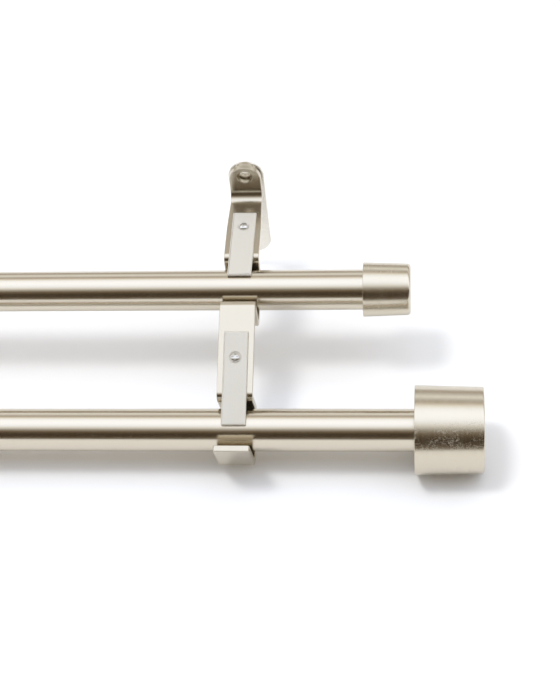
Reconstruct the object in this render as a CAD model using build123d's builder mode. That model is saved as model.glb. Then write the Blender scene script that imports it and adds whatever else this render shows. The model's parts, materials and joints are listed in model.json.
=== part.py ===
from build123d import *
from math import cos, radians, sin
import os

# Double curtain pole, sizes in millimetres.
# Frame: X runs along the poles, Y points into the wall, Z is up.
# The origin is on the wall face of the right bracket, level with the top of its arm's shelf.
# "Out" below is a distance from the wall, which is minus Y.

# Poles: a wide tube on the right and a thinner one that slides in it from the left
front_tube_diameter = 19.05
back_tube_diameter = 18.5
tube_wall = 0.8
tube_edge = 0.2
slide_gap = 0.3
pole_travel = 508.0
least_overlap = 80.0
tube_shut_gap = 2.0
tube_end_clearance = 32.8

# End caps: drawn metal cups with a little draft, each on a moulded plug
front_cap_diameter = 39.7
front_cap_length = 30.3
front_cap_edge = 0.7
front_cap_reach = 109.7
back_cap_diameter = 24.8
back_cap_length = 21.5
back_cap_edge = 1.6
back_cap_reach = 77.5
cap_wall = 1.0
cap_draft = 1.4
plug_fit = 0.1
plug_wall = 1.2
plug_recess = 1.2
plug_rib_count = 6
plug_rib_thickness = 1.2

# Brackets
strap_width = 16.0
strap_thickness = 2.8
fold_radius = 0.8
corner_radius = 5.0
hook_corner_radius = 2.2

# Wall plate and spacer behind the arm's tab
plate_width = 17.0
plate_thickness = 1.5
plate_edge = 0.8
plate_top = 16.8
plate_bottom = -43.4
spacer_diameter = 10.6
spacer_length = 2.2
wall_hole_diameter = 5.0
lower_hole_inset = 7.0

# Arm: tab, shelf, back hook, sloping part, front hook and lip
tab_width = 14.8
tab_top = 17.8
head_flat = 0.3
tab_hole_diameter = 7.0
tab_hole_height = 12.3
taper_start = 11.0
taper_end = 27.0
back_pole_out = 57.8
hook_side_gap = 1.7
hook_rest_gap = 0.2
crest_gap = 0.2
fold_corner_height = -0.7
slope_angle = 22.5
slope_run = 48.8
lip_height = 6.2
lip_corner = 1.0

# Clips that hold the poles down
clip_width = 11.0
clip_thickness = 1.5
clip_corner = 0.6
clip_edge = 0.3
back_clip_start = 18.6
back_clip_length = 39.5
back_screw_inset = 9.0
front_clip_start = 17.3
front_clip_length = 43.6
front_screw_inset = 12.4

# Clip screws
screw_diameter = 2.5
screw_hole_gap = 0.1
screw_head_diameter = 4.2
screw_head_height = 1.3
screw_head_edge = 0.6
screw_tip = 1.6
cross_width = 0.7
cross_length = 2.8
cross_depth = 0.7
dimple_diameter = 5.6
dimple_depth = 0.4

# Places that follow from the sizes above
front_radius = front_tube_diameter / 2
back_radius = back_tube_diameter / 2
plug_seat = cap_wall + plug_fit + plug_wall
shut_tube_length = pole_travel + least_overlap + tube_end_clearance
back_pole_length = plug_seat + shut_tube_length + tube_shut_gap + back_cap_length
bracket_spacing = back_pole_length - 2 * back_cap_reach
front_pole_length = bracket_spacing + 2 * front_cap_reach
tab_out = plate_thickness + spacer_length + strap_thickness
convex_radius = fold_radius + strap_thickness
back_drop_out = back_pole_out - back_radius - hook_side_gap
back_rise_out = back_pole_out + back_radius + hook_side_gap
back_pole_height = -(back_radius + crest_gap)
back_hook_floor = back_pole_height - back_radius - hook_rest_gap
front_rise_run = slope_run + 2 * (front_radius + hook_side_gap)
front_pole_run = slope_run + front_radius + hook_side_gap
front_pole_drop = -(front_radius + crest_gap)
front_hook_floor = front_pole_drop - front_radius - hook_rest_gap
lower_hole_height = plate_bottom + lower_hole_inset


def on_slope(run, rise):
    """Out and up of a point given along and square to the sloping part, from its upper corner."""
    angle = radians(slope_angle)
    out = back_rise_out + run * cos(angle) + rise * sin(angle)
    up = fold_corner_height - run * sin(angle) + rise * cos(angle)
    return out, up


front_pole_out, front_pole_height = on_slope(front_pole_run, front_pole_drop)
lowest = front_pole_height - front_cap_diameter


def side_plane(x):
    """Plane across the poles at x: its own x is the distance out, its own y is up."""
    return Plane(origin=(x, 0, 0), x_dir=(0, -1, 0), z_dir=(-1, 0, 0))


def wall_plane(x, out):
    """Plane parallel to the wall, facing the room, with its own y up."""
    return Plane(origin=(x, -out, 0), x_dir=(1, 0, 0), z_dir=(0, -1, 0))


def shelf_plane(x, height=0):
    """Level plane on or above the shelf; its own x is the distance out."""
    return Plane(origin=(x, 0, height), x_dir=(0, -1, 0), z_dir=(0, 0, 1))


def slope_plane(x, height=0):
    """Plane on or above the sloping part; its own x runs down the slope from the upper corner."""
    angle = radians(slope_angle)
    out, up = on_slope(0, height)
    return Plane(
        origin=(x, -out, up),
        x_dir=(0, -cos(angle), -sin(angle)),
        z_dir=(0, -sin(angle), cos(angle)),
    )


def pole_plane(x, out, height):
    """Plane along a pole: its own x is X and its own y is up, for shapes turned about the pole."""
    return Plane(origin=(x, -out, height), x_dir=(1, 0, 0), z_dir=(0, -1, 0))


def make_wall_plate(x):
    """Flat oblong with round ends and two screw holes, its front edge eased."""
    length = plate_top - plate_bottom
    middle = (plate_top + plate_bottom) / 2
    with BuildPart() as plate:
        with BuildSketch(wall_plane(x, 0)):
            with Locations((0, middle)):
                SlotOverall(length, plate_width, rotation=90)
            with Locations((0, tab_hole_height), (0, lower_hole_height)):
                Circle(wall_hole_diameter / 2, mode=Mode.SUBTRACT)
        extrude(amount=plate_thickness)
        front_rim = plate.faces().sort_by(Axis.Y)[0].outer_wire().edges()
        chamfer(front_rim, plate_edge)
    return plate


def make_spacer(x):
    """Turned ring that stands the arm's tab off the wall plate, in line with both holes."""
    with BuildPart() as spacer:
        with BuildSketch(wall_plane(x, plate_thickness)):
            with Locations((0, tab_hole_height)):
                Circle(spacer_diameter / 2)
                Circle(wall_hole_diameter / 2, mode=Mode.SUBTRACT)
        extrude(amount=spacer_length)
    return spacer


def make_arm(x):
    """One folded strap: tab, shelf, back hook, sloping part, front hook and its lip."""
    upper_side = [
        (tab_out, tab_top),
        (tab_out, 0),
        (back_drop_out, 0),
        (back_drop_out, back_hook_floor),
        (back_rise_out, back_hook_floor),
        on_slope(0, 0),
        on_slope(slope_run, 0),
        on_slope(slope_run, front_hook_floor),
        on_slope(front_rise_run, front_hook_floor),
        on_slope(front_rise_run, lip_height),
    ]
    angle = radians(slope_angle)
    fold_run = strap_thickness * (1 + sin(angle)) / cos(angle)
    lower_side = [
        (tab_out - strap_thickness, tab_top),
        (tab_out - strap_thickness, -strap_thickness),
        (back_drop_out - strap_thickness, -strap_thickness),
        (back_drop_out - strap_thickness, back_hook_floor - strap_thickness),
        (back_rise_out + strap_thickness, back_hook_floor - strap_thickness),
        on_slope(fold_run, -strap_thickness),
        on_slope(slope_run - strap_thickness, -strap_thickness),
        on_slope(slope_run - strap_thickness, front_hook_floor - strap_thickness),
        on_slope(front_rise_run + strap_thickness, front_hook_floor - strap_thickness),
        on_slope(front_rise_run + strap_thickness, lip_height),
    ]
    inner_bend = hook_corner_radius
    outer_bend = hook_corner_radius + strap_thickness
    upper_bends = [
        corner_radius, convex_radius, inner_bend, inner_bend,
        convex_radius, convex_radius, inner_bend, inner_bend,
    ]
    lower_bends = [
        corner_radius + strap_thickness, fold_radius, outer_bend, outer_bend,
        fold_radius, fold_radius, outer_bend, outer_bend,
    ]
    far_out = front_pole_out + front_cap_diameter
    with BuildPart() as arm:
        with BuildSketch(side_plane(x)):
            with BuildLine():
                FilletPolyline(*upper_side, radius=upper_bends)
                FilletPolyline(*lower_side, radius=lower_bends)
                Line(upper_side[0], lower_side[0])
                Line(upper_side[-1], lower_side[-1])
            make_face()
        extrude(amount=strap_width / 2, both=True)

        # the strap is a little narrower at the wall and widens along the shelf
        with BuildSketch(shelf_plane(x, lowest)):
            with BuildLine():
                outline = Polyline(
                    (0, 0),
                    (0, tab_width / 2),
                    (taper_start, tab_width / 2),
                    (taper_end, strap_width / 2),
                    (far_out, strap_width / 2),
                    (far_out, 0),
                )
                mirror(outline, about=Plane.XZ)
            make_face()
        extrude(amount=tab_top - lowest, mode=Mode.INTERSECT)

        # the tab's head is round, and its hole passes the wall screw
        tab_end = arm.faces().sort_by(Axis.Z)[-1]
        fillet(tab_end.edges().sort_by(SortBy.LENGTH)[:2], (tab_width - head_flat) / 2)
        with BuildSketch(wall_plane(x, 0)):
            with Locations((0, tab_hole_height)):
                Circle(tab_hole_diameter / 2)
        extrude(amount=tab_out + strap_thickness, mode=Mode.SUBTRACT)

        # round corners on the front lip
        slope = slope_plane(x)
        lip_end = arm.faces().filter_by(slope).sort_by(Axis(slope.origin, slope.z_dir))[-1]
        fillet(lip_end.edges().sort_by(SortBy.LENGTH)[:2], lip_corner)

        # tapped holes for the clip screws, square to the strap
        for surface, run in (
            (shelf_plane(x), back_clip_start + back_screw_inset),
            (slope_plane(x), front_clip_start + front_screw_inset),
        ):
            with BuildSketch(surface):
                with Locations((run, 0)):
                    Circle(screw_diameter / 2 + screw_hole_gap)
            extrude(amount=-2 * strap_thickness, mode=Mode.SUBTRACT)
    return arm


def make_clip(surface, start, length, screw_inset):
    """Flat strip with round corners and a dimpled screw hole, lying on a face of the arm."""
    with BuildPart() as clip:
        with BuildSketch(surface):
            with Locations((start + length / 2, 0)):
                RectangleRounded(length, clip_width, clip_corner)
        extrude(amount=clip_thickness)
        top = clip.faces().sort_by(Axis(surface.origin, surface.z_dir))[-1]
        chamfer(top.edges(), clip_edge)
        with Locations(surface.offset(clip_thickness)):
            with Locations((start + screw_inset, 0)):
                CounterBoreHole(
                    radius=screw_diameter / 2 + screw_hole_gap,
                    counter_bore_radius=dimple_diameter / 2,
                    counter_bore_depth=dimple_depth,
                    depth=2 * clip_thickness,
                )
    return clip


def make_screw(surface, run):
    """Small cross-slotted screw, its head down in the clip's dimple and its tip below the strap."""
    seat = clip_thickness - dimple_depth
    with BuildPart() as screw:
        with BuildSketch(surface.offset(seat)):
            with Locations((run, 0)):
                Circle(screw_head_diameter / 2)
        extrude(amount=screw_head_height)
        crown = screw.faces().sort_by(Axis(surface.origin, surface.z_dir))[-1]
        fillet(crown.edges(), screw_head_edge)
        with BuildSketch(surface.offset(seat)):
            with Locations((run, 0)):
                Circle(screw_diameter / 2)
        extrude(amount=-(seat + strap_thickness + screw_tip))
        with BuildSketch(surface.offset(seat + screw_head_height - cross_depth)):
            with Locations((run, 0)):
                Rectangle(cross_length, cross_width)
                Rectangle(cross_width, cross_length)
        extrude(amount=cross_depth, mode=Mode.SUBTRACT)
    return screw


def make_tube(left, right, out, height, diameter):
    """Round tube between two places along X, its outer edges eased."""
    radius = diameter / 2
    with BuildPart() as tube:
        with BuildSketch(Plane(origin=(left, -out, height), x_dir=(0, 1, 0), z_dir=(1, 0, 0))):
            Circle(radius)
            Circle(radius - tube_wall, mode=Mode.SUBTRACT)
        extrude(amount=right - left)
        ends = tube.edges().filter_by(GeomType.CIRCLE).sort_by(SortBy.RADIUS)[-2:]
        chamfer(ends, tube_edge)
    return tube


def make_cap(end, inward, out, height, diameter, length, edge):
    """Drawn cup closed at the pole's end; inward is +1 or -1, the way from its end to the pole."""
    mouth = diameter / 2
    shut = mouth - cap_draft / 2
    with BuildPart() as cap:
        with BuildSketch(pole_plane(end, out, height)) as profile:
            with BuildLine():
                Polyline(
                    (0, 0),
                    (0, shut),
                    (inward * length, mouth),
                    (inward * length, mouth - cap_wall),
                    (inward * cap_wall, shut - cap_wall),
                    (inward * cap_wall, 0),
                    close=True,
                )
            make_face()
            outer = profile.vertices().filter_by(
                lambda corner: abs(corner.X) < 0.01 and corner.Y > shut / 2
            )
            fillet(outer, edge)
        revolve(axis=Axis((end, -out, height), (1, 0, 0)))
    return cap


def make_plug(end, inward, out, height, tube_diameter, diameter, length):
    """Moulded plug between a tube and its cap: sleeve, mouth web, end stop and ribs."""
    bore = tube_diameter / 2 + plug_fit
    sleeve = bore + plug_wall
    slant = cap_draft / 2 / length
    mouth = diameter / 2 - cap_wall - slant * plug_recess - plug_fit
    near = length - plug_recess
    far = cap_wall + plug_fit
    web = near - plug_wall
    mouth_inside = mouth - slant * plug_wall
    shut = diameter / 2 - cap_draft / 2 - cap_wall - plug_fit
    with BuildPart() as plug:
        with BuildSketch(pole_plane(end, out, height)):
            with BuildLine():
                Polyline(
                    (inward * far, 0),
                    (inward * far, sleeve),
                    (inward * web, sleeve),
                    (inward * web, mouth_inside),
                    (inward * near, mouth),
                    (inward * near, bore),
                    (inward * (far + plug_wall), bore),
                    (inward * (far + plug_wall), 0),
                    close=True,
                )
            make_face()
        revolve(axis=Axis((end, -out, height), (1, 0, 0)))
        if shut - sleeve > plug_wall:
            across = Plane(origin=(end + inward * web, -out, height), x_dir=(0, 1, 0), z_dir=(-inward, 0, 0))
            with BuildSketch(across):
                with PolarLocations(0, plug_rib_count):
                    with Locations(((sleeve + shut) / 2 - plug_wall / 4, 0)):
                        Rectangle(shut - sleeve + plug_wall / 2, plug_rib_thickness)
            extrude(amount=web - far)
    return plug


def save(name, builder):
    """Label one finished piece and write it to its own file."""
    builder.part.label = name
    export_step(builder.part, f"parts/{name}.step")


os.makedirs("parts", exist_ok=True)

# the same bracket twice, the left one a spacing away
for side, x in (("right", 0.0), ("left", -bracket_spacing)):
    save(f"{side}_wall_plate", make_wall_plate(x))
    save(f"{side}_spacer", make_spacer(x))
    save(f"{side}_arm", make_arm(x))
    for row, surface, start, length, inset in (
        ("back", shelf_plane(x), back_clip_start, back_clip_length, back_screw_inset),
        ("front", slope_plane(x), front_clip_start, front_clip_length, front_screw_inset),
    ):
        save(f"{side}_{row}_clip", make_clip(surface, start, length, inset))
        save(f"{side}_{row}_clip_screw", make_screw(surface, start + inset))

# both poles, each a wide tube, a sliding tube, and a cap on a plug at either end
for row, out, height, diameter, reach, pole_length, cap_diameter, cap_length, cap_edge in (
    (
        "back", back_pole_out, back_pole_height, back_tube_diameter, back_cap_reach,
        back_pole_length, back_cap_diameter, back_cap_length, back_cap_edge,
    ),
    (
        "front", front_pole_out, front_pole_height, front_tube_diameter, front_cap_reach,
        front_pole_length, front_cap_diameter, front_cap_length, front_cap_edge,
    ),
):
    inner_diameter = diameter - 2 * (tube_wall + slide_gap)
    left_end = reach - pole_length
    outer_right = reach - plug_seat
    outer_left = left_end + cap_length + tube_shut_gap
    inner_left = left_end + plug_seat
    inner_right = outer_left + pole_travel + least_overlap
    save(f"{row}_outer_tube", make_tube(outer_left, outer_right, out, height, diameter))
    save(f"{row}_inner_tube", make_tube(inner_left, inner_right, out, height, inner_diameter))
    cap_place = (out, height, cap_diameter, cap_length, cap_edge)
    save(f"{row}_right_cap", make_cap(reach, -1, *cap_place))
    save(f"{row}_left_cap", make_cap(left_end, 1, *cap_place))
    save(
        f"{row}_right_plug",
        make_plug(reach, -1, out, height, diameter, cap_diameter, cap_length),
    )
    save(
        f"{row}_left_plug",
        make_plug(left_end, 1, out, height, inner_diameter, cap_diameter, cap_length),
    )
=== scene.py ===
# %% [markdown]
# # A double curtain pole in satin nickel
# Two telescoping poles hang one in front of the other in a pair of folded strap brackets. The
# imported model gives each piece its place and size. This lesson gives each piece its finished
# surface: long soft reflections on the tubes, spun end caps, a folded strap with eased edges, and
# a pale, dull plate on the clips. The first step loads the imported pieces and keeps the box they
# fill, which sets the floor's height.

# %% Load the imported pieces
import json
import math

import bpy
import numpy as np
from mathutils import Matrix, Vector
from mathutils.geometry import tessellate_polygon

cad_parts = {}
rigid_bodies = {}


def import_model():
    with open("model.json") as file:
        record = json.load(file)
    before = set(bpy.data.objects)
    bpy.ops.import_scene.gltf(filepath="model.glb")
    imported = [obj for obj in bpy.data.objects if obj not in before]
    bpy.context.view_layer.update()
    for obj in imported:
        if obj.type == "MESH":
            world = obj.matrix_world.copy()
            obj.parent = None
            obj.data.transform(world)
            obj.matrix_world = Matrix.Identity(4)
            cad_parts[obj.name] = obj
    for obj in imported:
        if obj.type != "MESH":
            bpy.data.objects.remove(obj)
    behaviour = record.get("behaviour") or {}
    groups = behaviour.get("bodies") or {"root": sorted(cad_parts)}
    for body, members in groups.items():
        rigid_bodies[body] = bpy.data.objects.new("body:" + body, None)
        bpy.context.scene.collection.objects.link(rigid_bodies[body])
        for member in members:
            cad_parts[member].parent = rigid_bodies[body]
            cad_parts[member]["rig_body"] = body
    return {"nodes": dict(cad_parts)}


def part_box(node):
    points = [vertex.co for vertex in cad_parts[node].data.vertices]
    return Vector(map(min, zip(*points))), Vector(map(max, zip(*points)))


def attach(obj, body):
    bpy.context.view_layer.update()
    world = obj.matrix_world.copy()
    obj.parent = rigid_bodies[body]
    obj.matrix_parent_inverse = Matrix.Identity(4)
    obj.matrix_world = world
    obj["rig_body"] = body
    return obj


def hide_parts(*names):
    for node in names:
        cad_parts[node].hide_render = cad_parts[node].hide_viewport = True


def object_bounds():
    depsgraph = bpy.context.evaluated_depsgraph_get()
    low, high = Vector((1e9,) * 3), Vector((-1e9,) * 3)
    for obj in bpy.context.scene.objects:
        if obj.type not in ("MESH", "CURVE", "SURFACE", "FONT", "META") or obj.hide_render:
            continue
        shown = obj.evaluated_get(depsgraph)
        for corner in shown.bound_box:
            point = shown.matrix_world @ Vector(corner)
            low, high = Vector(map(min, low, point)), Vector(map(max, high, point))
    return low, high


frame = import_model()
packed_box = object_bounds()
MM = 0.001
SIDES = ("right", "left")
ROWS = ("back", "front")
body_of = {node: piece["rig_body"] for node, piece in frame["nodes"].items()}
print("packed pieces:", len(body_of))
print("box in mm:", [round(side / MM, 1) for side in packed_box[1] - packed_box[0]])

# %% [markdown]
# ## Colours and nodes
# Colours are written as the hex values a colour picker shows. Blender mixes light in linear
# values, so one function turns them over. A second small function adds a node and fills its
# inputs in one line, which keeps each finish short enough to read as a recipe.


# %% Two helpers for every finish
def colour(hex_code, light=1.0):
    """Linear colour of an sRGB hex value, times a light.

    A channel c is c / 12.92 up to 0.04045, and ((c + 0.055) / 1.055) to the power 2.4 above it.
    """
    srgb = np.array([int(hex_code[i:i + 2], 16) for i in (0, 2, 4)]) / 255
    linear = np.where(srgb <= 0.04045, srgb / 12.92, ((srgb + 0.055) / 1.055) ** 2.4)
    return (*(light * linear), 1.0)


def add_node(tree, kind, *values, operation=None, **named):
    """Adds a node, its kind without ShaderNode, and fills its inputs in order or by name.

    An input takes a value, an output, or a node, which stands for its own first output.
    """
    node = tree.nodes.new("ShaderNode" + kind)
    if operation:
        node.operation = operation
    for key, value in {**dict(enumerate(values)), **named}.items():
        source = value.outputs[0] if isinstance(value, bpy.types.Node) else value
        if isinstance(source, bpy.types.NodeSocket):
            tree.links.new(source, node.inputs[key])
        else:
            node.inputs[key].default_value = source
    return node


SATIN_NICKEL = "D1C8B7"
print("satin nickel in linear light:", [round(c, 3) for c in colour(SATIN_NICKEL)[:3]])

# %% [markdown]
# ## Satin nickel
# The tubes and the brackets are steel with a satin nickel plate. Before plating, the steel is
# polished with fine belts that run along the piece, so the plate keeps faint lines that way.
# Nickel is a warm grey metal. The roughness is low enough to keep the bands of light sharp, and
# the lines only shift it a little. The belt lines are really about 0.05 mm apart. They are drawn
# at 0.3 mm, and those of the later finishes at up to 0.5 mm, because finer ones would not show
# in the picture.


# %% One recipe for the plated metals
# the patches' size in millimetres, their share in the sum, and what the sum usually covers
PATCH_SIZE = 12.0
PATCH_SHARE = 0.4
PATTERN_RANGE = (0.4, 1.0)


def plated_metal(name, base, rough, spacing, stretch, depth):
    """Metal whose roughness runs between two values in fine lines, with a bump of a depth in mm.

    The lines are noise on the object's own millimetres: one cycle per spacing, times the stretch
    along each axis. A second, wide noise is added by its share, so that the roughness also
    shifts in soft patches. The range that the sum usually covers is spread over the roughness.
    """
    metal = bpy.data.materials.new(name)
    metal.use_nodes = True
    tree = metal.node_tree
    shader = tree.nodes["Principled BSDF"]
    shader.inputs["Base Color"].default_value = colour(base)
    shader.inputs["Metallic"].default_value = 1.0
    place = add_node(tree, "TexCoord").outputs["Object"]
    squeeze = [1 / (spacing * along * MM) for along in stretch]
    lines_at = add_node(tree, "Mapping", Vector=place, Scale=squeeze)
    lines = add_node(tree, "TexNoise", Vector=lines_at, Scale=1.0, Detail=3.0)
    patches = add_node(tree, "TexNoise", Vector=place, Scale=1 / (PATCH_SIZE * MM), Detail=2.0)
    both = add_node(tree, "Math", patches, PATCH_SHARE, lines, operation="MULTIPLY_ADD")
    polish = add_node(tree, "MapRange", both, *PATTERN_RANGE, *rough)
    tree.links.new(polish.outputs[0], shader.inputs["Roughness"])
    grain = add_node(tree, "Bump", Height=lines, Strength=1.0, Distance=depth * MM)
    tree.links.new(grain.outputs[0], shader.inputs["Normal"])
    return metal


# satin nickel on drawn steel tube: belt lines along X give slightly soft, streaked bands
tube_nickel = plated_metal(
    "satin_nickel_tube", SATIN_NICKEL, (0.15, 0.23), spacing=0.3, stretch=(60, 1, 1), depth=0.0015,
)
# satin nickel on pressed steel strip: a shade darker and softer, with a faint grain along the strap
strap_nickel = plated_metal(
    "satin_nickel_strip", "C9C0AE", (0.20, 0.27), spacing=0.3, stretch=(1, 30, 30), depth=0.0003,
)
print("metals so far:", [tube_nickel.name, strap_nickel.name])

# %% [markdown]
# ## Spun caps, pale plate and screws
# The end caps are drawn cups that are polished while they spin, so their lines go round the pole:
# the same recipe, with the fine spacing along X instead. The clips are barrel plated in bulk,
# which leaves them paler and much duller than the satin parts, so they show broad light and no
# bands. The wall plates have the same pale plate, but they hang on racks in the bath and keep a
# satin shine. The screws are bright zinc plated.

# %% The other plated finishes
PALE_NICKEL = "ECE8DE"
# satin nickel on a spun cup: lines round the pole; the front cups get scuffs in the next step
cap_nickel, front_cap_nickel = (
    plated_metal(name, "CFC6B4", (0.15, 0.29), spacing=0.4, stretch=(1, 40, 40), depth=0.005)
    for name in ("satin_nickel_cap", "scuffed_nickel_cap")
)
# barrel plated nickel: pale and dull, a fine grain without a direction
clip_nickel = plated_metal(
    "barrel_plated_nickel", PALE_NICKEL, (0.72, 0.82), spacing=0.5, stretch=(1, 1, 1), depth=0.0006,
)
# racked pale nickel: the same colour with a satin shine, and a grain across the plate
plate_nickel = plated_metal(
    "racked_pale_nickel", PALE_NICKEL, (0.26, 0.34), spacing=0.4, stretch=(30, 30, 1), depth=0.0004,
)
# bright zinc on a small machine screw: colder and shinier than nickel
screw_zinc = plated_metal(
    "bright_zinc_screw", "D9D6CF", (0.2, 0.3), spacing=0.2, stretch=(1, 1, 1), depth=0.0005,
)
print("more metals:", [m.name for m in (cap_nickel, clip_nickel, plate_nickel, screw_zinc)])

# %% [markdown]
# ## Scuffs on the big cups
# The front pole's cups are the widest pieces, so they rub against whatever the set lies in. Along
# their upper front they carry curling hairline scuffs. A scuff is rougher than the polish round
# it: it hardly shows in a bright reflection and stands out pale in a dark one. So the marks go
# into the roughness, and no colour is painted. A real hairline is a few hundredths of a
# millimetre wide. These are drawn at about 0.1 mm, so that they show in the picture.

# %% Hairline scuffs
# in millimetres: a curl, the patches, the height above the cup's axis, and the fading from it
SCUFF_SIZE = 1.8
SCUFF_AREA = 7.2
SCUFF_ABOVE_AXIS = 13.3
SCUFF_REACH = (2.16, 4.68)
SCUFF_STRETCH = (1.7, 1, 1)
# half the band of noise values that marks, the patch noise from bare to full, added roughness
SCUFF_LINE = 0.018
SCUFF_COVER = (0.36, 0.56)
SCUFF_ROUGHNESS = 0.3


def scuff(metal, height):
    """Rubs hairline marks into a finished metal, round one height in millimetres.

    The marks run where a noise of the scuff's size is within a small band round its middle
    value. The noise is stretched along X, the way the poles slide in their packing. A wider
    noise thins the marks out in patches, and they fade between a near and a far distance from
    the height. Where they run, they add to the polish's own roughness.
    """
    tree = metal.node_tree
    shader = tree.nodes["Principled BSDF"]
    polish = shader.inputs["Roughness"].links[0].from_socket
    place = add_node(tree, "TexCoord").outputs["Object"]
    squeeze = [1 / (SCUFF_SIZE * along * MM) for along in SCUFF_STRETCH]
    curls_at = add_node(tree, "Mapping", Vector=place, Scale=squeeze)
    curls = add_node(tree, "TexNoise", Vector=curls_at, Scale=1.0, Detail=4.0, Distortion=0.6)
    marks = add_node(tree, "Math", curls, 0.5, SCUFF_LINE, operation="COMPARE")
    areas = add_node(tree, "TexNoise", Vector=place, Scale=1 / (SCUFF_AREA * MM), Detail=2.0)
    rubbed = add_node(tree, "MapRange", areas, *SCUFF_COVER, 0.0, SCUFF_ROUGHNESS)
    xyz = add_node(tree, "SeparateXYZ", Vector=place)
    off = add_node(tree, "Math", xyz.outputs["Z"], height * MM, operation="SUBTRACT")
    away = add_node(tree, "Math", off, operation="ABSOLUTE")
    near = add_node(tree, "MapRange", away, SCUFF_REACH[0] * MM, SCUFF_REACH[1] * MM, 1.0, 0.0)
    here = add_node(tree, "Math", rubbed, near, operation="MULTIPLY")
    total = add_node(tree, "Math", marks, here, polish, operation="MULTIPLY_ADD")
    tree.links.new(total.outputs[0], shader.inputs["Roughness"])


cup_low, cup_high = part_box("front_right_cap")
scuff_height = (cup_low[2] + cup_high[2]) / 2 / MM + SCUFF_ABOVE_AXIS
scuff(front_cap_nickel, scuff_height)
print("scuffs round the height of", round(scuff_height, 1), "mm on", front_cap_nickel.name)

# %% [markdown]
# ## Moulded plastic
# The plugs inside the caps are moulded in grey plastic. It is matt, because the mould was spark
# eroded, which leaves a fine grain of about 0.4 mm.

# %% Grey plastic
PLASTIC_GRAIN = 0.4
PLASTIC_DEPTH = 0.01
PLASTIC_ROUGHNESS = 0.5
PLASTIC_SHADE = 0.88


def moulded_plastic(name, base):
    """Matt plastic: noise of the grain's size shades the colour a little and drives the bump."""
    plastic = bpy.data.materials.new(name)
    plastic.use_nodes = True
    tree = plastic.node_tree
    shader = tree.nodes["Principled BSDF"]
    shader.inputs["Roughness"].default_value = PLASTIC_ROUGHNESS
    place = add_node(tree, "TexCoord").outputs["Object"]
    grain = add_node(tree, "TexNoise", Vector=place, Scale=1 / (PLASTIC_GRAIN * MM))
    darker = colour(base, light=PLASTIC_SHADE)
    shade = add_node(tree, "MixRGB", Fac=grain, Color1=colour(base), Color2=darker)
    tree.links.new(shade.outputs[0], shader.inputs["Base Color"])
    bump = add_node(tree, "Bump", Height=grain, Strength=0.5, Distance=PLASTIC_DEPTH * MM)
    tree.links.new(bump.outputs[0], shader.inputs["Normal"])
    return plastic


plug_plastic = moulded_plastic("moulded_grey_plastic", "B9B5AC")
print("finish of the plugs:", plug_plastic.name)

# %% [markdown]
# ## Lines with round corners
# Every piece here starts as a line: the edge of a tube's wall, the outline of a clip, the fold of
# the bracket's strap. Real sheet and tube have no sharp corners, so one function rounds each
# corner of such a line and also works out which way the surface faces at each point. Those
# facing directions are kept on the mesh, so a flat face stays flat right up to its rounded edge.


# %% Round the corners of a line
def rounded_line(points, radii, steps=6, closed=False):
    """Points and normals of a flat line whose corners are arcs.

    A corner that turns by a, with radius r, has an arc from r tan(a / 2) before it to as much
    after it. The arc's centre lies r to the inner side of the line. Along the arc the heading
    turns evenly from one leg's to the next one's, and a point is the centre plus or minus r
    times the heading turned a quarter. A normal is the heading turned a quarter to the right.
    """
    points = np.array(points, float)
    before, corners, after = np.roll(points, 1, 0), points, np.roll(points, -1, 0)
    if not closed:
        before, corners, after = points[:-2], points[1:-1], points[2:]
    arriving = (corners - before) / np.linalg.norm(corners - before, axis=1, keepdims=True)
    leaving = (after - corners) / np.linalg.norm(after - corners, axis=1, keepdims=True)
    cross = arriving[:, 0] * leaving[:, 1] - arriving[:, 1] * leaving[:, 0]
    turn = np.arctan2(cross, (arriving * leaving).sum(1))
    radii = np.broadcast_to(np.asarray(radii, float), turn.shape)
    start = corners - arriving * (radii * np.tan(np.abs(turn) / 2))[:, None]
    left = np.stack([-arriving[:, 1], arriving[:, 0]], 1)
    reach = (np.sign(turn) * radii)[:, None]
    centre = start + reach * left
    first = np.arctan2(arriving[:, 1], arriving[:, 0])[:, None]
    heading = first + turn[:, None] * np.linspace(0, 1, steps + 1)
    right = np.stack([np.sin(heading), -np.cos(heading)], -1)
    arcs = (centre[:, None] + reach[:, None] * right).reshape(-1, 2)
    normals = right.reshape(-1, 2)
    if closed:
        return arcs, normals
    arcs = np.vstack([points[:1], arcs, points[-1:]])
    return arcs, np.vstack([normals[:1], normals, normals[-1:]])


trial, _ = rounded_line([(0, 0), (10, 0), (10, 10)], 2.0)
print("an arc of radius 2 starts", round(10 - trial[1, 0], 2), "before its square corner")

# %% [markdown]
# ## From numbers to a mesh
# A surface is a grid of points, so its faces follow from counting: each one joins a point, its
# neighbour, and the two behind them. The faces are turned to agree with the facing directions,
# which makes every piece point outwards without a repair step afterwards.


# %% Grids, meshes and stand-ins
def grid_faces(rows, columns, close_rows=False, close_columns=False, first=0):
    """Corner numbers of the faces of a grid of points that is stored row by row.

    The face at (i, j) joins the points (i, j), (i, j + 1), (i + 1, j + 1) and (i + 1, j), where
    point (i, j) has the number i times the columns plus j, and a closed side runs on at 0.
    """
    i = np.arange(rows if close_rows else rows - 1)[:, None]
    j = np.arange(columns if close_columns else columns - 1)[None, :]
    i2, j2 = (i + 1) % rows, (j + 1) % columns
    corners = [i * columns + j, i * columns + j2, i2 * columns + j2, i2 * columns + j]
    return first + np.stack(corners, -1).reshape(-1, 4)


def facing(points, normals, faces):
    """The same faces, with those turned over whose own normal is against their points' normals.

    A face's own normal is the sum of the cross products of its sides from its first corner.
    """
    sides = points[faces] - points[faces][:, :1]
    own = np.cross(sides[:, 1], sides[:, 2]) + np.cross(sides[:, 2], sides[:, -1])
    against = (own * normals[faces].sum(1)).sum(1) < 0
    faces = faces.copy()
    faces[against] = faces[against][:, ::-1]
    return faces


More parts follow.
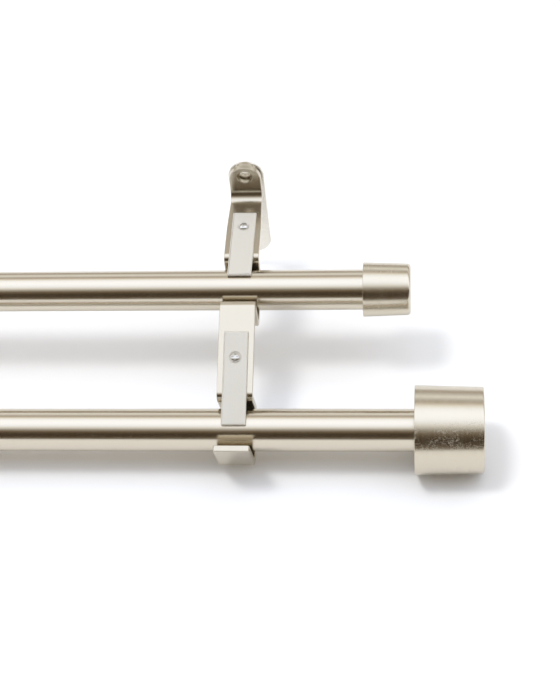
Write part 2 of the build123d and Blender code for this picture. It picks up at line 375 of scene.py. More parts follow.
def fill(points, *rings):
    """Triangles that fill a flat outline, the first ring of point numbers, round the others."""
    flat = tessellate_polygon([[tuple(p) for p in points[ring]] for ring in rings])
    return np.concatenate(rings)[np.array(flat)]


def build_mesh(name, points, normals, *face_groups):
    """A mesh from whole arrays of points in millimetres, unit normals and groups of faces."""
    mesh = bpy.data.meshes.new(name)
    groups = [facing(points, normals, group) for group in face_groups if len(group)]
    loops = np.concatenate([group.ravel() for group in groups]).astype(np.int32)
    sizes = np.concatenate([np.full(len(group), group.shape[1]) for group in groups])
    starts = np.concatenate([[0], np.cumsum(sizes)[:-1]]).astype(np.int32)
    mesh.vertices.add(len(points))
    mesh.vertices.foreach_set("co", (points * MM).astype(np.float32).ravel())
    mesh.loops.add(len(loops))
    mesh.loops.foreach_set("vertex_index", loops)
    mesh.polygons.add(len(sizes))
    mesh.polygons.foreach_set("loop_start", starts)
    mesh.update(calc_edges=True)
    mesh.shade_smooth()
    mesh.normals_split_custom_set_from_vertices(normals.astype(np.float32))
    return mesh


def add_object(name, data):
    """A new object in the scene, which shows a mesh, a lamp or a camera."""
    item = bpy.data.objects.new(name, data)
    bpy.context.scene.collection.objects.link(item)
    return item


def stand_in(name, mesh, node, metal):
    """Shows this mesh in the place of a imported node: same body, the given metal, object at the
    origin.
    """
    piece = add_object(name, mesh)
    mesh.materials.append(metal)
    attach(piece, body_of[node])
    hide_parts(node)
    print(name, "faces:", len(mesh.polygons))


def box_mm(node):
    """Lowest corner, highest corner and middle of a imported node, in millimetres."""
    low, high = (np.array(corner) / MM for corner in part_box(node))
    return low, high, (low + high) / 2


print("faces of a 3 by 4 grid:", len(grid_faces(3, 4)))

# %% [markdown]
# ## Turned pieces
# Tubes, caps and spacers are all turned shapes: a half section carried round an axis. Blender's
# Screw modifier could do it, but worked out as a formula the section keeps its exact facing
# directions, and a long tube needs points only at its two ends.


# %% Carry a half section round an axis
# a section's end that is nearer to the axis than this lies on it
ON_AXIS = 1e-6


def turned(section, section_normals, base, axis, start, steps=144, closed=True):
    """Points, normals and faces of a section (distance along, radius) carried round an axis.

    A point is the base, plus the distance along the axis, plus the radius times the start
    direction turned by the angle. Where an open section begins or ends on the axis, that end
    becomes one point with a fan of triangles.
    """
    axis, start, base = (np.array(v, float) for v in (axis, start, base))
    side = np.cross(axis, start)
    angle = np.linspace(0, 2 * math.pi, steps, endpoint=False)
    spoke = np.cos(angle)[:, None] * start + np.sin(angle)[:, None] * side
    on_axis = [] if closed else [end for end in (0, -1) if section[end, 1] < ON_AXIS]
    keep = np.ones(len(section), bool)
    keep[on_axis] = False
    rings, ring_normals = section[keep], section_normals[keep]
    points = base + rings[:, None, :1] * axis + rings[:, None, 1:] * spoke[None]
    normals = ring_normals[:, None, :1] * axis + ring_normals[:, None, 1:] * spoke[None]
    points, normals = points.reshape(-1, 3), normals.reshape(-1, 3)
    quads = grid_faces(len(rings), steps, close_rows=closed, close_columns=True)
    fans = [np.zeros((0, 3), int)]
    for end in on_axis:
        around = np.arange(steps) + (0 if end == 0 else (len(rings) - 1) * steps)
        tip = np.full(steps, len(points))
        fans.append(np.stack([tip, around, np.roll(around, -1)], 1))
        points = np.vstack([points, base + section[end, 0] * axis])
        normals = np.vstack([normals, math.copysign(1, section_normals[end, 0]) * axis])
    return points, normals, quads, np.concatenate(fans)


def ring_section(near, far, inner, outer, edge):
    """Closed section of a ring from one distance along to another, each of its corners eased."""
    corners = [(near, inner), (far, inner), (far, outer), (near, outer)]
    return rounded_line(corners, edge, steps=4, closed=True)


print("points in a ring's section:", len(ring_section(0, 10, 4, 5, 0.2)[0]))

# %% [markdown]
# ### Tubes
# Each pole is a wide tube and a thinner one that slides inside it, both rolled from thin sheet.
# The cut ends are deburred, so their rims catch a thin line of light.

# %% The four tubes
TUBE_WALL = 0.8
TUBE_EDGE = 0.2


def tube(name, node):
    """A tube with its ends eased: a closed oblong section from bore to outside, carried round X."""
    low, high, middle = box_mm(node)
    radius = (high[2] - low[2]) / 2
    base = [0, middle[1], middle[2]]
    section = ring_section(low[0], high[0], radius - TUBE_WALL, radius, TUBE_EDGE)
    mesh = build_mesh(name, *turned(*section, base, (1, 0, 0), (0, 0, 1)))
    stand_in(name, mesh, node, tube_nickel)


for row in ROWS:
    for width, kind in (("wide", "outer"), ("thin", "inner")):
        tube(f"{row}_{width}_tube", f"{row}_{kind}_tube")

# %% [markdown]
# ## End caps
# Each pole ends in a cup that was drawn from sheet, so its wall has a slight draft: it is widest
# at its open mouth. The front cup has a crisp rim and the back one a softer, rounder rim. The
# section starts at the axis inside, runs out round the mouth and comes back to the axis outside.

# %% The four caps
CAP_WALL = 1.0
CAP_DRAFT = 1.4
CAP_FLOOR_RADIUS = 0.8
CAP_MOUTH_RADIUS = 0.3
CAP_EDGES = {"back": 1.6, "front": 0.7}
CAP_METALS = {"back": cap_nickel, "front": front_cap_nickel}


def end_cap(name, node, inward, edge, metal):
    """A cup: inner floor and wall, mouth, outer wall with its draft, rounded rim, outer floor."""
    low, high, middle = box_mm(node)
    mouth = (high[2] - low[2]) / 2
    shut = mouth - CAP_DRAFT / 2
    length = high[0] - low[0]
    shut_end = high[0] if inward < 0 else low[0]
    base = [shut_end, middle[1], middle[2]]
    corners = [
        (CAP_WALL, 0), (CAP_WALL, shut - CAP_WALL), (length, mouth - CAP_WALL),
        (length, mouth), (0, shut), (0, 0),
    ]
    radii = [CAP_FLOOR_RADIUS, CAP_MOUTH_RADIUS, CAP_MOUTH_RADIUS, edge]
    section = rounded_line(corners, radii, steps=8)
    surface = turned(*section, base, (inward, 0, 0), (0, 0, 1), steps=192, closed=False)
    stand_in(name, build_mesh(name, *surface), node, metal)


for row in ROWS:
    for side, inward in (("right", -1), ("left", 1)):
        cup = f"{row}_{side}_cup"
        end_cap(cup, f"{row}_{side}_cap", inward, CAP_EDGES[row], CAP_METALS[row])

# %% [markdown]
# ## Spacers
# A turned ring stands each arm's tab off its wall plate, so that the wall screw can clamp both.

# %% The two spacers
WALL_HOLE_RADIUS = 2.5
SPACER_EDGE = 0.3


def spacer(name, node):
    """A ring on the wall screw's axis: the same section as a tube, but short and thick."""
    low, high, middle = box_mm(node)
    base = [middle[0], 0, middle[2]]
    radius = (high[2] - low[2]) / 2
    section = ring_section(-high[1], -low[1], WALL_HOLE_RADIUS, radius, SPACER_EDGE)
    mesh = build_mesh(name, *turned(*section, base, (0, -1, 0), (0, 0, 1), steps=72))
    stand_in(name, mesh, node, strap_nickel)


for side in SIDES:
    spacer(f"{side}_stand_off", f"{side}_spacer")

# %% [markdown]
# ## Pressed plates
# The wall plates and the clips are flat pieces punched from strip: an outline, a hole or two, and
# an edge that the tumbling has rounded. The outline is drawn once and repeated at each step of
# the edge's own small section, a little further in each time. The flat faces between outline and
# holes are filled with triangles, which is safe because they keep their own facing direction.


# %% Punch a flat piece with eased edges
def eased_edge(thickness, edge, steps=4):
    """Section of an eased edge, as (moved in, height) points and (outwards, up) normals.

    At an angle a from -90 to 90 degrees a point has moved in by edge times (1 - cos a), and its
    height changes by edge times sin a, from the lower or the upper corner's centre.
    """
    a = np.linspace(0, math.pi / 2, steps + 1)
    climb = np.concatenate([-a[::-1], a])
    centre = np.where(np.arange(len(climb)) > steps, thickness - edge, edge)
    section = np.stack([edge * (1 - np.cos(climb)), centre + edge * np.sin(climb)], 1)
    return section, np.stack([np.cos(climb), np.sin(climb)], 1)


def punched(loops):
    """Points, normals and faces of a flat plate in its own plane, each loop with its edge section.

    A loop is (points, outward normals, section, section normals). A point at a step of the
    section is the loop's point, less what the section has moved in along the outward normal,
    raised to the section's height. The first loop is the outline and the others are holes.
    """
    all_points, all_normals, quads, floors, roofs = [], [], [], [], []
    count = 0
    for outline, outward, section, section_normals in loops:
        steps, around = len(section), len(outline)
        flat = outline[None] - section[:, None, :1] * outward[None]
        rise = np.broadcast_to(section[:, None, 1:], (steps, around, 1))
        lean = section_normals[:, None, :1] * outward[None]
        up = np.broadcast_to(section_normals[:, None, 1:], (steps, around, 1))
        all_points.append(np.concatenate([flat, rise], 2).reshape(-1, 3))
        all_normals.append(np.concatenate([lean, up], 2).reshape(-1, 3))
        quads.append(grid_faces(steps, around, close_columns=True, first=count))
        floors.append(count + np.arange(around))
        roofs.append(count + np.arange(around) + (steps - 1) * around)
        count += steps * around
    points, normals = np.vstack(all_points), np.vstack(all_normals)
    lids = np.concatenate([fill(points, *floors), fill(points, *roofs)])
    return points, normals, np.concatenate(quads), lids


def circle(centre, radius, steps=40):
    """A hole's loop: the centre plus the radius times (cos a, sin a), facing into the hole."""
    a = np.linspace(0, 2 * math.pi, steps, endpoint=False)
    ring = np.stack([np.cos(a), np.sin(a)], 1)
    return np.array(centre) + radius * ring, -ring


def placed(points, normals, origin, x_dir, y_dir):
    """Turns a flat piece's own x, y and z into the room's.

    A point is the origin, plus x times the first direction, plus y times the second one, plus z
    times their cross product.
    """
    x_dir, y_dir = np.array(x_dir, float), np.array(y_dir, float)
    turn = np.stack([x_dir, y_dir, np.cross(x_dir, y_dir)])
    return points @ turn + np.array(origin, float), normals @ turn


print("steps of an eased edge:", len(eased_edge(2.0, 0.5)[0]))

# %% [markdown]
# ### Wall plates
# The plate behind each tab spreads the load on the wall. It is made like every punched piece: an
# outline and two holes, each with its eased edge.

# %% The two wall plates
LOWER_HOLE_INSET = 7.0
PLATE_EDGE = 0.7
PLATE_HOLE_EDGE = 0.2
# the ends' arcs stop just short of a half circle, so that two arcs never share a point
ROUND_END = 0.999


def wall_plate(name, node, upper_hole):
    """An upright oblong with half-round ends and two screw holes, flat on the wall."""
    low, high, middle = box_mm(node)
    across, thickness, tall = (high - low) * (0.5, 1, 0.5)
    corners = [(-across, -tall), (across, -tall), (across, tall), (-across, tall)]
    outline = rounded_line(corners, across * ROUND_END, steps=24, closed=True)
    heights = (upper_hole - middle[2], LOWER_HOLE_INSET - tall)
    holes = [circle((0, z), WALL_HOLE_RADIUS) for z in heights]
    loops = [(*outline, *eased_edge(thickness, PLATE_EDGE))]
    loops += [(*hole, *eased_edge(thickness, PLATE_HOLE_EDGE)) for hole in holes]
    points, normals, *faces = punched(loops)
    on_wall = [middle[0], 0, middle[2]]
    points, normals = placed(points, normals, on_wall, (1, 0, 0), (0, 0, 1))
    stand_in(name, build_mesh(name, points, normals, *faces), node, plate_nickel)


HOLE_HEIGHT = box_mm("right_spacer")[2][2]
for side in SIDES:
    wall_plate(f"{side}_back_plate", f"{side}_wall_plate", HOLE_HEIGHT)

# %% [markdown]
# ## Clips
# A clip is a strip with round corners that is screwed down on the arm and reaches over a pole.
# Its screw sits in a shallow round dimple, so the hole's edge section is wide and slopes in.

# %% The four clips
# how steeply the arm's long part falls, and the front clip on it
SLOPE = math.radians(22.5)
CLIP_WIDTH = 11.0
CLIP_THICKNESS = 1.5
CLIP_CORNER = 0.6
CLIP_EDGE = 0.7
CLIP_HOLE_RADIUS = 1.35
BORE_EDGE = 0.3
DIMPLE_RADIUS = 2.8
DIMPLE_DEPTH = 0.4
# the dimple's wall leans: distances of its foot, its top and the flat face from the radius
DIMPLE_FOOT, DIMPLE_TOP, DIMPLE_END = -0.5, 0.1, 0.5
# radii at the bore's lower and upper edge, and at the wall's foot and top
DIMPLE_RADII = [0.15, 0.1, 0.5, 0.5]
# for each row: which way the clip runs, its length and its screw's distance from its start
CLIPS = {
    "back": ((0, -1, 0), 39.5, 9.0),
    "front": ((0, -math.cos(SLOPE), -math.sin(SLOPE)), 43.6, 12.4),
}


def dimple_edge():
    """Section of the dimpled hole: underside, up the bore, out over the dimple, up to the face.

    The metal lies to the right of this line, so its normals are turned over. Their first part
    counts outwards where the section counts inwards, so only their up part changes its sign.
    """
    floor = CLIP_THICKNESS - DIMPLE_DEPTH
    wide = DIMPLE_RADIUS - CLIP_HOLE_RADIUS
    corners = [
        (BORE_EDGE, 0), (0, 0), (0, floor), (wide + DIMPLE_FOOT, floor),
        (wide + DIMPLE_TOP, CLIP_THICKNESS), (wide + DIMPLE_END, CLIP_THICKNESS),
    ]
    section, right = rounded_line(corners, DIMPLE_RADII, steps=4)
    return section, right * (1, -1)


def clip(name, node, along, length, screw_inset):
    """A strip along its own x with a dimpled hole near its start, turned onto the arm's face."""
    low, high, middle = box_mm(node)
    half = CLIP_WIDTH / 2
    corners = [(0, -half), (length, -half), (length, half), (0, half)]
    outline = rounded_line(corners, CLIP_CORNER, steps=6, closed=True)
    hole = circle((screw_inset, 0), CLIP_HOLE_RADIUS)
    points, normals, *faces = punched(
        [(*outline, *eased_edge(CLIP_THICKNESS, CLIP_EDGE)), (*hole, *dimple_edge())]
    )
    # the underside starts at the clip's wall side, above its lowest edge by what it falls
    start = [middle[0], high[1], low[2] - length * along[2]]
    points, normals = placed(points, normals, start, along, (1, 0, 0))
    stand_in(name, build_mesh(name, points, normals, *faces), node, clip_nickel)


for side in SIDES:
    for row in ROWS:
        clip(f"{side}_{row}_strip", f"{side}_{row}_clip", *CLIPS[row])

# %% [markdown]
# ## The folded arm
# The arm is one strap, folded eight times: tab, shelf, back hook, sloping part, front hook, lip.
# On the real piece the strap is blanked flat first, with its round head and its holes, and then
# folded. The surface is made in the same order. Its side view is a line with round corners, which
# follows the upper face of the strap. At each point of that line the blank has a half width, and
# the same eased edge as a punched plate runs all the way round the blank.

# %% The arm's side view
STRAP_WIDTH = 16.0
STRAP_THICKNESS = 2.8
STRAP_EDGE = 0.35
# inner radii of the folds: into a hook, under the tab, and inside a hook
FOLD_RADIUS = 0.8
CORNER_RADIUS = 5.0
HOOK_RADIUS = 2.2
# room between a pole and its hook, at each side and below
SIDE_GAP = 1.7
REST_GAP = 0.2
# where the slope starts, how long it is, and how far the lip stands above it
FOLD_HEIGHT = -0.7
SLOPE_RUN = 48.8
LIP_HEIGHT = 6.2


def pole_centre(row):
    """Distance out, height and radius of a pole, from its wide tube's box."""
    low, high, middle = box_mm(f"{row}_outer_tube")
    return -middle[1], middle[2], (high[2] - low[2]) / 2


back_out, back_height, back_radius = pole_centre("back")
front_out, front_height, front_radius = pole_centre("front")
_, arm_high, _ = box_mm("right_arm")
tab_out, tab_top = STRAP_THICKNESS - arm_high[1], arm_high[2]
drop_out = back_out - back_radius - SIDE_GAP
rise_out = back_out + back_radius + SIDE_GAP
back_floor = back_height - back_radius - REST_GAP
down_slope = np.array([math.cos(SLOPE), -math.sin(SLOPE)])
off_slope = np.array([math.sin(SLOPE), math.cos(SLOPE)])
fold = np.array([rise_out, FOLD_HEIGHT])
front_drop = (np.array([front_out, front_height]) - fold) @ off_slope
front_floor = front_drop - front_radius - REST_GAP
rise_run = SLOPE_RUN + 2 * (front_radius + SIDE_GAP)
side_view = [
    (tab_out, tab_top), (tab_out, 0),
    (drop_out, 0), (drop_out, back_floor), (rise_out, back_floor), fold,
    fold + SLOPE_RUN * down_slope,
    fold + SLOPE_RUN * down_slope + front_floor * off_slope,
    fold + rise_run * down_slope + front_floor * off_slope,
    fold + rise_run * down_slope + LIP_HEIGHT * off_slope,
]
outer_fold = FOLD_RADIUS + STRAP_THICKNESS
bends = [
    CORNER_RADIUS, outer_fold, HOOK_RADIUS, HOOK_RADIUS,
    outer_fold, outer_fold, HOOK_RADIUS, HOOK_RADIUS,
]
BEND_STEPS = 12
line, line_right = rounded_line(side_view, bends, steps=BEND_STEPS)
print("the folded line has", len(line), "points")

# %% [markdown]
# The blank's outline needs more points than the folded line: the round head of the tab, the taper
# along the shelf, the corners of the lip, and a row before and after each screw hole. Each row is
# a point on the line, the way the line goes there, the way the face looks, the half width, and
# the outline's own outward direction in the blank.

# %% The blank's rows from head to lip
TAB_WIDTH = 14.8
# a short straight piece across the top of the head
HEAD_FLAT = 0.3
# distances out between which the strap widens from the tab's width to its own
TAPER = (11.0, 27.0)
LIP_CORNER = 1.0
HEAD_STEPS = 24
LIP_STEPS = 6
# the screws' places, out along the shelf and down along the slope, and how far before and after
# each one the blank has a row
BACK_SCREW_OUT = 27.6
FRONT_SCREW_RUN = 29.7
HOLE_MARGIN = 4.0


def blank_rows():
    """Line points, the way each faces, half widths, outward directions (along, across), flats.

    Round the head, at an angle a, the row lies r (1 - sin a) below the top and is r cos a wide,
    with the outline facing sin a backwards and cos a sideways. The lip's corners do the same
    forwards. Between them the half width follows the taper by the distance out. The flats are
    the first and last rows of the stretches that have a hole.
    """
    head = (TAB_WIDTH - HEAD_FLAT) / 2
    a = np.linspace(math.pi / 2, 0, HEAD_STEPS + 1)
    head_line = np.stack([np.full_like(a, tab_out), tab_top - head + head * np.sin(a)], 1)
    sides = (-HOLE_MARGIN, HOLE_MARGIN)
    level = sorted([(BACK_SCREW_OUT + side, 0.0) for side in sides] + [(TAPER[1], 0.0)])
    sloping = [fold + (FRONT_SCREW_RUN + side) * down_slope for side in sides]
    b = np.linspace(0, math.pi / 2, LIP_STEPS + 1)
    lip_line = line[-1] - LIP_CORNER * (1 - np.sin(b))[:, None] * off_slope
    bend = BEND_STEPS + 1
    rows = np.vstack([
        head_line, line[1:1 + bend], level, line[1 + bend:1 + 5 * bend],
        sloping, line[1 + 5 * bend:-1], lip_line,
    ])
    faces = -np.vstack([
        np.broadcast_to(line_right[0], (len(a), 2)), line_right[1:1 + bend],
        np.broadcast_to(line_right[bend], (len(level), 2)), line_right[1 + bend:1 + 5 * bend],
        np.broadcast_to(line_right[5 * bend], (len(sloping), 2)), line_right[1 + 5 * bend:-1],
        np.broadcast_to(line_right[-1], (len(b), 2)),
    ])
    half = np.interp(rows[:, 0], TAPER, (TAB_WIDTH / 2, STRAP_WIDTH / 2))
    half[:len(a)] = HEAD_FLAT / 2 + head * np.cos(a)
    half[-len(b):] = STRAP_WIDTH / 2 - LIP_CORNER * (1 - np.cos(b))
    outward = np.tile([0.0, 1.0], (len(rows), 1))
    outward[:len(a)] = np.stack([-np.sin(a), np.cos(a)], 1)
    outward[-len(b):] = np.stack([np.sin(b), np.cos(b)], 1)
    on_shelf = len(a) + bend
    on_ramp = on_shelf + len(level) + 4 * bend
    flats = [(0, len(a)), (on_shelf, on_shelf + len(level) - 1)]
    flats.append((on_ramp, on_ramp + len(sloping) - 1))
    return rows, faces, half, outward, flats


rows, faces_up, half, outward, flats = blank_rows()
print("rows in the blank:", len(rows), "flat stretches with a hole:", flats)

# %% [markdown]
# Folding the blank is then one formula for the outline and for the holes alike. The lids of the
# strap are quads from its right edge to its left one. Only where there is a hole, which is always
# on a flat stretch, the lid is filled with triangles round it.


# %% Fold the outline and the holes
def folded(rows, up, across, outward, section, section_normals):
    """Points and normals of an edge section carried round a loop of the folded blank.

    A point is the loop's point on the upper face, less what the section has moved in along the
    outward direction, less its depth below the upper face along the way that face looks.
    """
    along = np.stack([up[:, 1], -up[:, 0]], 1)
    moved, depth = section[:, None, :1], STRAP_THICKNESS - section[:, None, 1:]
    lean, rise = section_normals[:, None, :1], section_normals[:, None, 1:]
    flat = rows - moved * (outward[:, :1] * along) - depth * up
    flat_normals = lean * (outward[:, :1] * along) + rise * up
    x = across[:, None] - moved * outward[:, 1:]
    x_normals = lean * outward[:, 1:]
    points = np.concatenate([x, -flat[..., :1], flat[..., 1:]], -1)
    normals = np.concatenate([x_normals, -flat_normals[..., :1], flat_normals[..., 1:]], -1)
    return points.reshape(-1, 3), normals.reshape(-1, 3)


def hole_loop(centre, up, radius):
    """A hole's loop in the blank: its circle's x runs along the strap and its y across it."""
    ring, inward = circle((0, 0), radius)
    along = np.array([up[1], -up[0]])
    return centre + ring[:, :1] * along, np.tile(up, (len(ring), 1)), ring[:, 1], inward


print("facing of the slope:", off_slope.round(3))

# %% [markdown]
# The whole arm then takes one function: the edge, the holes, the quads across, and the lids.

# %% The two arms
TAB_HOLE_RADIUS = 3.5
SCREW_HOLE_RADIUS = 1.35
HOLE_EDGE = 0.3
# for each hole: its centre on the side view, the way the face looks there, and its radius
HOLES = [
    (np.array([tab_out, HOLE_HEIGHT]), np.array([1.0, 0.0]), TAB_HOLE_RADIUS),
    (np.array([BACK_SCREW_OUT, 0.0]), np.array([0.0, 1.0]), SCREW_HOLE_RADIUS),
    (fold + FRONT_SCREW_RUN * down_slope, off_slope, SCREW_HOLE_RADIUS),
]


def arm(name, node):
    """The folded strap: its edge all round, a quad across each pair of rows, three holed flats.

    The outline's loop goes down the right edge and back up the left one, so row k has the
    numbers k and 2 n - 1 - k, with n rows in all.
    """
    count = len(rows)
    outline = (
        np.vstack([rows, rows[::-1]]), np.vstack([faces_up, faces_up[::-1]]),
        np.concatenate([half, -half[::-1]]), np.vstack([outward, outward[::-1] * (1, -1)]),
    )
    edge = eased_edge(STRAP_THICKNESS, STRAP_EDGE)
    steps = len(edge[0])
    points, normals = folded(*outline, *edge)
    groups = [grid_faces(steps, 2 * count, close_columns=True)]
    tops = (0, (steps - 1) * 2 * count)
    open_rows = np.ones(count - 1, bool)
    for (first, last), hole in zip(flats, HOLES):
        base = len(points)
        loop = hole_loop(*hole)
        hole_points, hole_normals = folded(*loop, *eased_edge(STRAP_THICKNESS, HOLE_EDGE))
        points, normals = np.vstack([points, hole_points]), np.vstack([normals, hole_normals])
        around = len(loop[0])
        groups.append(grid_faces(steps, around, close_columns=True, first=base))
        span = np.arange(first, last + 1)
        ring = np.concatenate([span, 2 * count - 1 - span[::-1]])
        for top, hole_top in zip(tops, (base, base + (steps - 1) * around)):
            groups.append(fill(points, ring + top, np.arange(around) + hole_top))
        open_rows[first:last] = False
    k = np.flatnonzero(open_rows)
    strips = np.stack([k, k + 1, 2 * count - 2 - k, 2 * count - 1 - k], 1)
    groups += [strips + top for top in tops]
    _, _, middle = box_mm(node)
    points = points + np.array([middle[0], 0, 0])
    stand_in(name, build_mesh(name, points, normals, *groups), node, strap_nickel)


for side in SIDES:
    arm(f"{side}_folded_strap", f"{side}_arm")

# %% [markdown]
# ## Clip screws
# Each clip is held by a small machine screw. Its head is cold formed between dies, so it has a low
# dome, and the cross recess has soft walls. The screw is first turned as a plain shape. Then the
# recess pushes the dome's points down, and the facing directions lean by the slope of that push.

# %% The four clip screws
SCREW_RADIUS = 1.25
# how far the shank stands out below the strap
SCREW_TIP = 1.6
HEAD_RADIUS = 2.1
HEAD_HEIGHT = 1.3
# the short upright side of the head, below the dome
HEAD_SIDE = 0.15
# radii at the tip, under the head and at the head's lower rim
SCREW_EDGES = [0.3, 0.05, 0.1]
DOME_STEPS = 39
CROSS_LENGTH = 2.8
CROSS_WIDTH = 0.7
CROSS_DEPTH = 0.5
CROSS_BLUR = 0.22
# half the distance over which the recess's slope is measured
SLOPE_STEP = 0.02


def recess(x, y):
    """Depth of the cross: full where a point is inside either bar, and easing out over the blur.

    The distance outside a bar is the larger of |x| less half the bar's length and |y| less half
    its width. The recess follows the nearer bar, and eases as t squared times (3 - 2 t).
    """
    long, wide = CROSS_LENGTH / 2, CROSS_WIDTH / 2
    x, y = np.abs(x), np.abs(y)
    outside = np.minimum(np.maximum(x - long, y - wide), np.maximum(x - wide, y - long))
    t = np.clip(0.5 - outside / CROSS_BLUR, 0, 1)
    return CROSS_DEPTH * t * t * (3 - 2 * t)


def clip_screw(name, node, seat, up):
    """Shank, underside and low dome carried round the screw's axis, with the cross pushed in.

    At an angle a the dome's point is the head's side plus the dome's rise times sin a along the
    axis, and the head's radius times cos a from it. The recess moves a point down the axis by
    its depth there. Its slope, the difference of the depths to both sides over the distance
    between them, leans the normal the same way.
    """
    _, _, middle = box_mm(node)
    axis = np.array([0.0, -up[0], up[1]])
    base = np.array([middle[0], -seat[0], seat[1]])
    x_dir, y_dir = np.array([1.0, 0.0, 0.0]), np.cross(axis, (1, 0, 0))
    tip = CLIP_THICKNESS - DIMPLE_DEPTH + STRAP_THICKNESS + SCREW_TIP
    shank = [
        (-tip, 0), (-tip, SCREW_RADIUS), (0, SCREW_RADIUS),
        (0, HEAD_RADIUS), (HEAD_SIDE, HEAD_RADIUS),
    ]
    section, right = rounded_line(shank, SCREW_EDGES, steps=3)
    a = np.linspace(0, math.pi / 2, DOME_STEPS + 1)[1:]
    rise = HEAD_HEIGHT - HEAD_SIDE
    dome = np.stack([HEAD_SIDE + rise * np.sin(a), HEAD_RADIUS * np.cos(a)], 1)
    lean = np.stack([HEAD_RADIUS * np.sin(a), rise * np.cos(a)], 1)
    lean /= np.linalg.norm(lean, axis=1, keepdims=True)
    dome[-1, 1] = 0
    # the shank's line has the metal on its right, so its normals are turned over
    section, outside = np.vstack([section, dome]), np.vstack([-right, lean])
    points, normals, *faces = turned(
        section, outside, base, axis, x_dir, steps=96, closed=False,
    )
    from_base = points - base
    x, y = from_base @ x_dir, from_base @ y_dir
    crown = from_base @ axis > HEAD_SIDE
    h = SLOPE_STEP
    slope_x = (recess(x + h, y) - recess(x - h, y)) / (2 * h) * crown
    slope_y = (recess(x, y + h) - recess(x, y - h)) / (2 * h) * crown
    points = points - (recess(x, y) * crown)[:, None] * axis
    tilt = slope_x[:, None] * x_dir + slope_y[:, None] * y_dir
    normals = normals + (normals @ axis)[:, None] * tilt
    normals /= np.linalg.norm(normals, axis=1, keepdims=True)
    stand_in(name, build_mesh(name, points, normals, *faces), node, screw_zinc)


for row, (hole, up, _) in zip(ROWS, HOLES[1:]):
    seat = hole + (CLIP_THICKNESS - DIMPLE_DEPTH) * up
    for side in SIDES:
        clip_screw(f"{side}_{row}_machine_screw", f"{side}_{row}_clip_screw", seat, up)

# %% [markdown]
# ## Plugs
# The plastic plugs that hold the caps are hidden inside them, all but a ring at each mouth. They
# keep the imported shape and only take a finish.

# %% Finish the plugs
for side in SIDES:
    for row in ROWS:
        frame["nodes"][f"{row}_{side}_plug"].data.materials[0] = plug_plastic
print("plugs finished:", len(SIDES) * len(ROWS))

# %% [markdown]
# ## The studio
# Polished metal looks like its room, so the room comes before the lamps. The bands on the tubes
# tell what stood round them: a broad cool light overhead, a dark brown room in front, and a grey
# one with a second, smaller light behind. The world's light follows one angle, the direction's
# height seen along the poles, so that every tube shows the same bands. The camera itself sees
# plain white.

# %% The world
world = bpy.data.worlds.new("studio")
bpy.context.scene.world = world
world.use_nodes = True
sky = world.node_tree
direction = add_node(sky, "TexCoord").outputs["Generated"]
xyz = add_node(sky, "SeparateXYZ", Vector=direction)
forward = add_node(sky, "Math", xyz.outputs["Y"], -1.0, operation="MULTIPLY")
angle = add_node(sky, "Math", xyz.outputs["Z"], forward, operation="ARCTAN2")
turn = add_node(sky, "MapRange", angle, 0.0, math.pi, 0.0, 1.0)
ramp = add_node(sky, "ValToRGB", Fac=turn)
COOL, PLAIN, WARM, BROWN = "E9F0FF", "FFFFFF", "FFF6E8", "FFDFB4"
# degrees up from the room side's horizon, light and tint; 180 is the wall side's horizon, and
# below both the ramp keeps its first colour
STUDIO = [
    (0, 0.30, WARM), (6, 0.16, BROWN), (13, 0.10, BROWN), (24, 0.06, BROWN), (35, 0.10, BROWN),
    (45, 0.22, BROWN), (51, 0.40, WARM), (57, 0.66, PLAIN), (64, 1.12, PLAIN), (72, 1.62, COOL),
    (80, 1.85, COOL), (92, 1.92, COOL), (102, 1.90, COOL), (110, 1.75, COOL), (117, 1.30, PLAIN),
    (124, 0.80, WARM), (132, 0.52, WARM), (140, 0.76, PLAIN), (148, 1.25, PLAIN),
    (156, 0.88, PLAIN), (168, 0.54, WARM), (180, 0.60, WARM),
]
# a ramp's colours stop at 1, so the light is divided by its highest value and multiplied again
BRIGHTEST = 2.0
stops = ramp.color_ramp.elements
for degrees, _, _ in STUDIO[2:]:
    stops.new(degrees / 180)
for stop, (degrees, light, tint) in zip(stops, STUDIO):
    stop.position = degrees / 180
    stop.color = colour(tint, light=light / BRIGHTEST)
rays = add_node(sky, "LightPath").outputs
studio = add_node(sky, "Background", Color=ramp, Strength=BRIGHTEST)
plain = add_node(sky, "Background", Color=(1, 1, 1, 1), Strength=1.0)
seen = add_node(
    sky, "Math", rays["Is Camera Ray"], rays["Is Transmission Ray"], operation="MAXIMUM",
)
mix = add_node(sky, "MixShader", seen, studio, plain)
sky.links.new(mix.outputs[0], sky.nodes["World Output"].inputs["Surface"])
print("studio steps:", len(STUDIO))

# %% [markdown]
# ## Floor and key light
# The floor is white paper just under the lowest point, a touch warm to balance the cool light
# overhead. It glows a little for the camera and in reflections, which lifts it to the white of
# the page and leaves the shadows in it. The key light is a wide, soft sun to the left of straight
# overhead, so that the shadows fall to the right. It doesn't show in the metal, whose bands come
# from the room alone.

# %% Paper floor and lamp
FLOOR_GAP = 0.0002
FLOOR_REACH = 4.0
FLOOR_GLOW = 0.04
PAPER_WHITE = "F0EFED"
paper = bpy.data.materials.new("white_paper_floor")
paper.use_nodes = True
tree = paper.node_tree
tree.nodes.remove(tree.nodes["Principled BSDF"])
rays = add_node(tree, "LightPath").outputs
matt = add_node(tree, "BsdfDiffuse", Color=colour(PAPER_WHITE))
seen = add_node(tree, "Math", rays["Is Camera Ray"], rays["Is Glossy Ray"], operation="MAXIMUM")
lift = add_node(tree, "Math", seen, FLOOR_GLOW, operation="MULTIPLY")
glow = add_node(tree, "Emission", Color=(1, 1, 1, 1), Strength=lift)
total = add_node(tree, "AddShader", matt, glow)
tree.links.new(total.outputs[0], tree.nodes["Material Output"].inputs["Surface"])

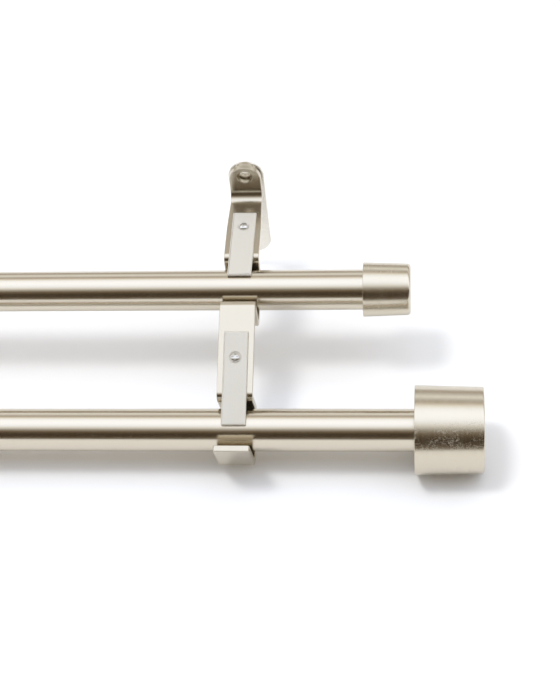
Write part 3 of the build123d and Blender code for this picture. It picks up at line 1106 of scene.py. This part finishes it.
height = packed_box[0][2] - FLOOR_GAP
square = ((-1, -1), (1, -1), (1, 1), (-1, 1))
corners = [(x * FLOOR_REACH, y * FLOOR_REACH, height) for x, y in square]
floor_mesh = bpy.data.meshes.new("paper_floor")
floor_mesh.from_pydata(corners, [], [(0, 1, 2, 3)])
floor_mesh.materials.append(paper)
floor = add_object("paper_floor", floor_mesh)

# the way from the floor to the sun, its strength, and how many degrees wide it looks
KEY_TOWARD = Vector((-0.33, -0.02, 0.95))
KEY_STRENGTH = 0.95
KEY_SPREAD = 13
key = bpy.data.lights.new("overhead_key", "SUN")
key.energy = KEY_STRENGTH
key.angle = math.radians(KEY_SPREAD)
lamp = add_object("overhead_key", key)
lamp.rotation_mode = "QUATERNION"
lamp.rotation_quaternion = KEY_TOWARD.to_track_quat("Z", "Y")
lamp.visible_glossy = False
print("floor at", round(height / MM, 1), "mm")

# %% [markdown]
# ## The camera
# The picture looks down steeply from the room side, with a long lens and a slight roll. The
# camera's three directions follow from pan, tilt and roll: look = (-sin pan cos tilt, cos pan cos
# tilt, -sin tilt), right = (cos pan, sin pan, 0), above = right x look, and the roll turns the
# last two about the first.

# %% Camera
EYE = np.array([89.61, -592.494, 583.313])
PAN, TILT, ROLL = (math.radians(a) for a in (7.955, 49.642, -6.243))
FOCAL_PIXELS = 1753.52
PICTURE_HEIGHT = 700
camera = bpy.data.cameras.new("camera")
camera.sensor_width = 36.0
camera.lens = FOCAL_PIXELS * camera.sensor_width / PICTURE_HEIGHT
look = np.array([
    -math.sin(PAN) * math.cos(TILT), math.cos(PAN) * math.cos(TILT), -math.sin(TILT),
])
right = np.array([math.cos(PAN), math.sin(PAN), 0.0])
above = np.cross(right, look)
right, above = (
    math.cos(ROLL) * right + math.sin(ROLL) * above,
    math.cos(ROLL) * above - math.sin(ROLL) * right,
)
eye = add_object("camera", camera)
axes = np.eye(4)
axes[:3, 0], axes[:3, 1], axes[:3, 2], axes[:3, 3] = right, above, -look, EYE * MM
eye.matrix_world = Matrix(axes.tolist())
bpy.context.scene.camera = eye
bpy.context.scene.view_settings.view_transform = "Standard"
print("lens in mm:", round(camera.lens, 2))
